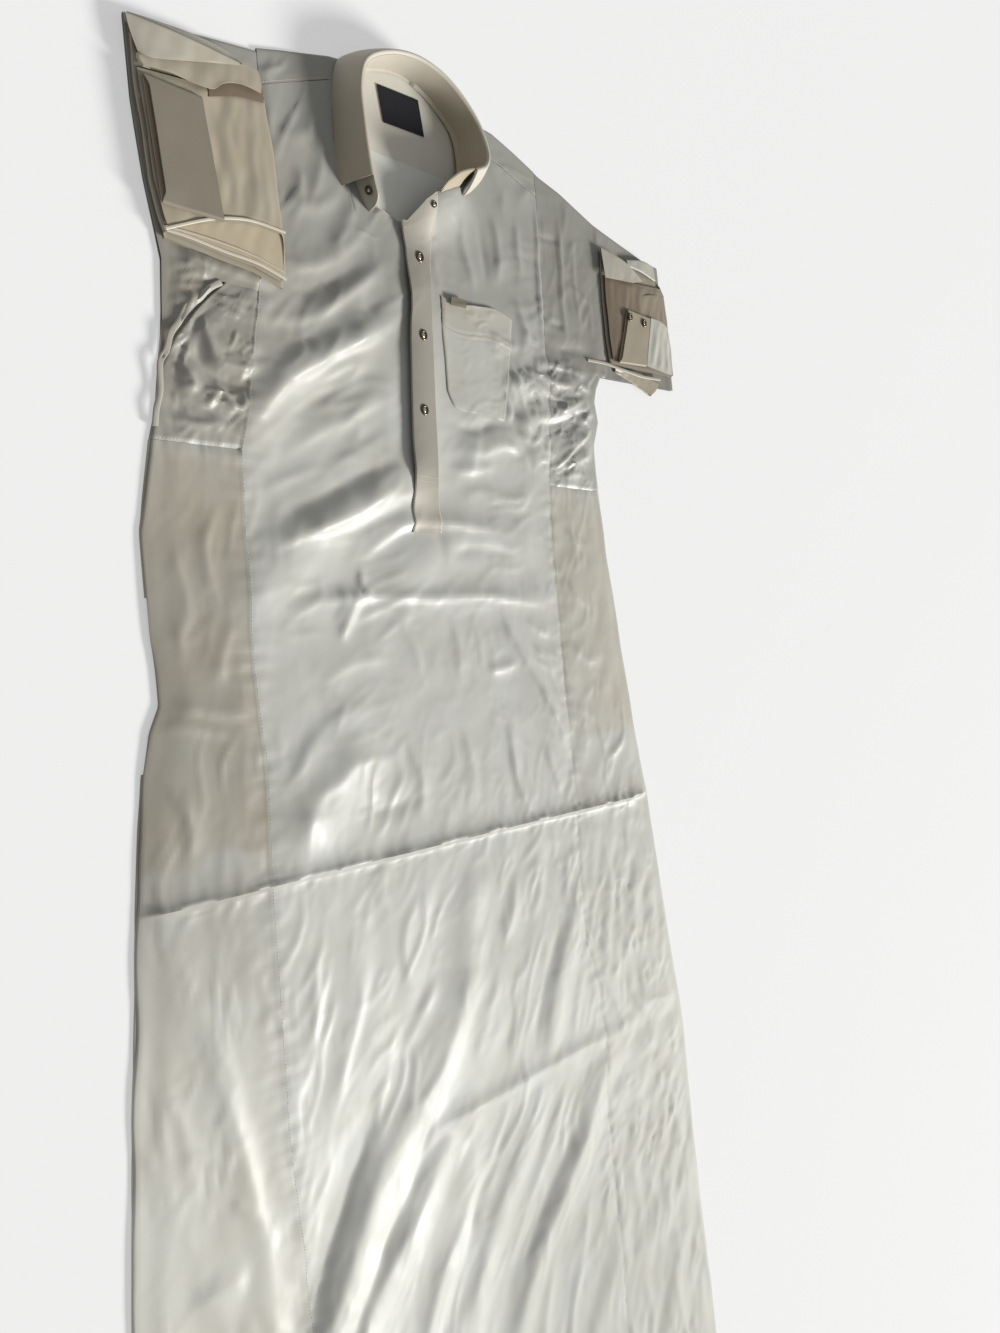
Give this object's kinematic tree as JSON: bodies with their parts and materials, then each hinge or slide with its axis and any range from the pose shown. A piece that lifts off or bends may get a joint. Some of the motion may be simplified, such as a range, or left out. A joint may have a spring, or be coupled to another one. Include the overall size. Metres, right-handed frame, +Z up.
{
  "type": "thobe robe",
  "caption": "Long satin thobe laid flat, front up, with a shirt collar, snap placket, breast pocket and sleeves folded in beside the shoulders.",
  "frame": {"origin": "on the surface the robe lies on, on the centre line, 0.78 m above the hem", "axes": "+Y from hem to neck, +Z up out of the front, +X to the viewer's right with the front up"},
  "size_m": [0.8586, 1.5808, 0.0443],
  "materials": {
    "satin": "light cream polyester satin with a soft sheen",
    "pocket_cloth": "thin plain lining cloth",
    "snap_metal": "dark oxidised snap caps",
    "label": "plain black woven tape"
  },
  "bodies": {
    "root": {"back_panel": "satin", "front_panel": "satin", "side_gore_left": "satin", "side_gore_right": "satin", "gusset_left": "satin", "gusset_right": "satin", "yoke": "satin", "sleeve_left": "satin", "sleeve_right": "satin", "sleeve_left_folds": "satin", "sleeve_right_folds": "satin", "sleeve_left_flap": "satin", "cuff_left": "satin", "cuff_right": "satin", "collar_stand": "satin", "collar_fall": "satin", "placket": "satin", "under_placket": "satin", "breast_pocket": "satin", "side_pocket_left": "pocket_cloth", "side_pocket_right": "pocket_cloth", "placket_snap_1": "snap_metal", "placket_snap_2": "snap_metal", "placket_snap_3": "snap_metal", "placket_snap_4": "snap_metal", "band_snap": "snap_metal", "cuff_snap_1": "snap_metal", "cuff_snap_2": "snap_metal", "neck_label": "label", "pocket_tab": "label"}
  },
  "joints": []
}
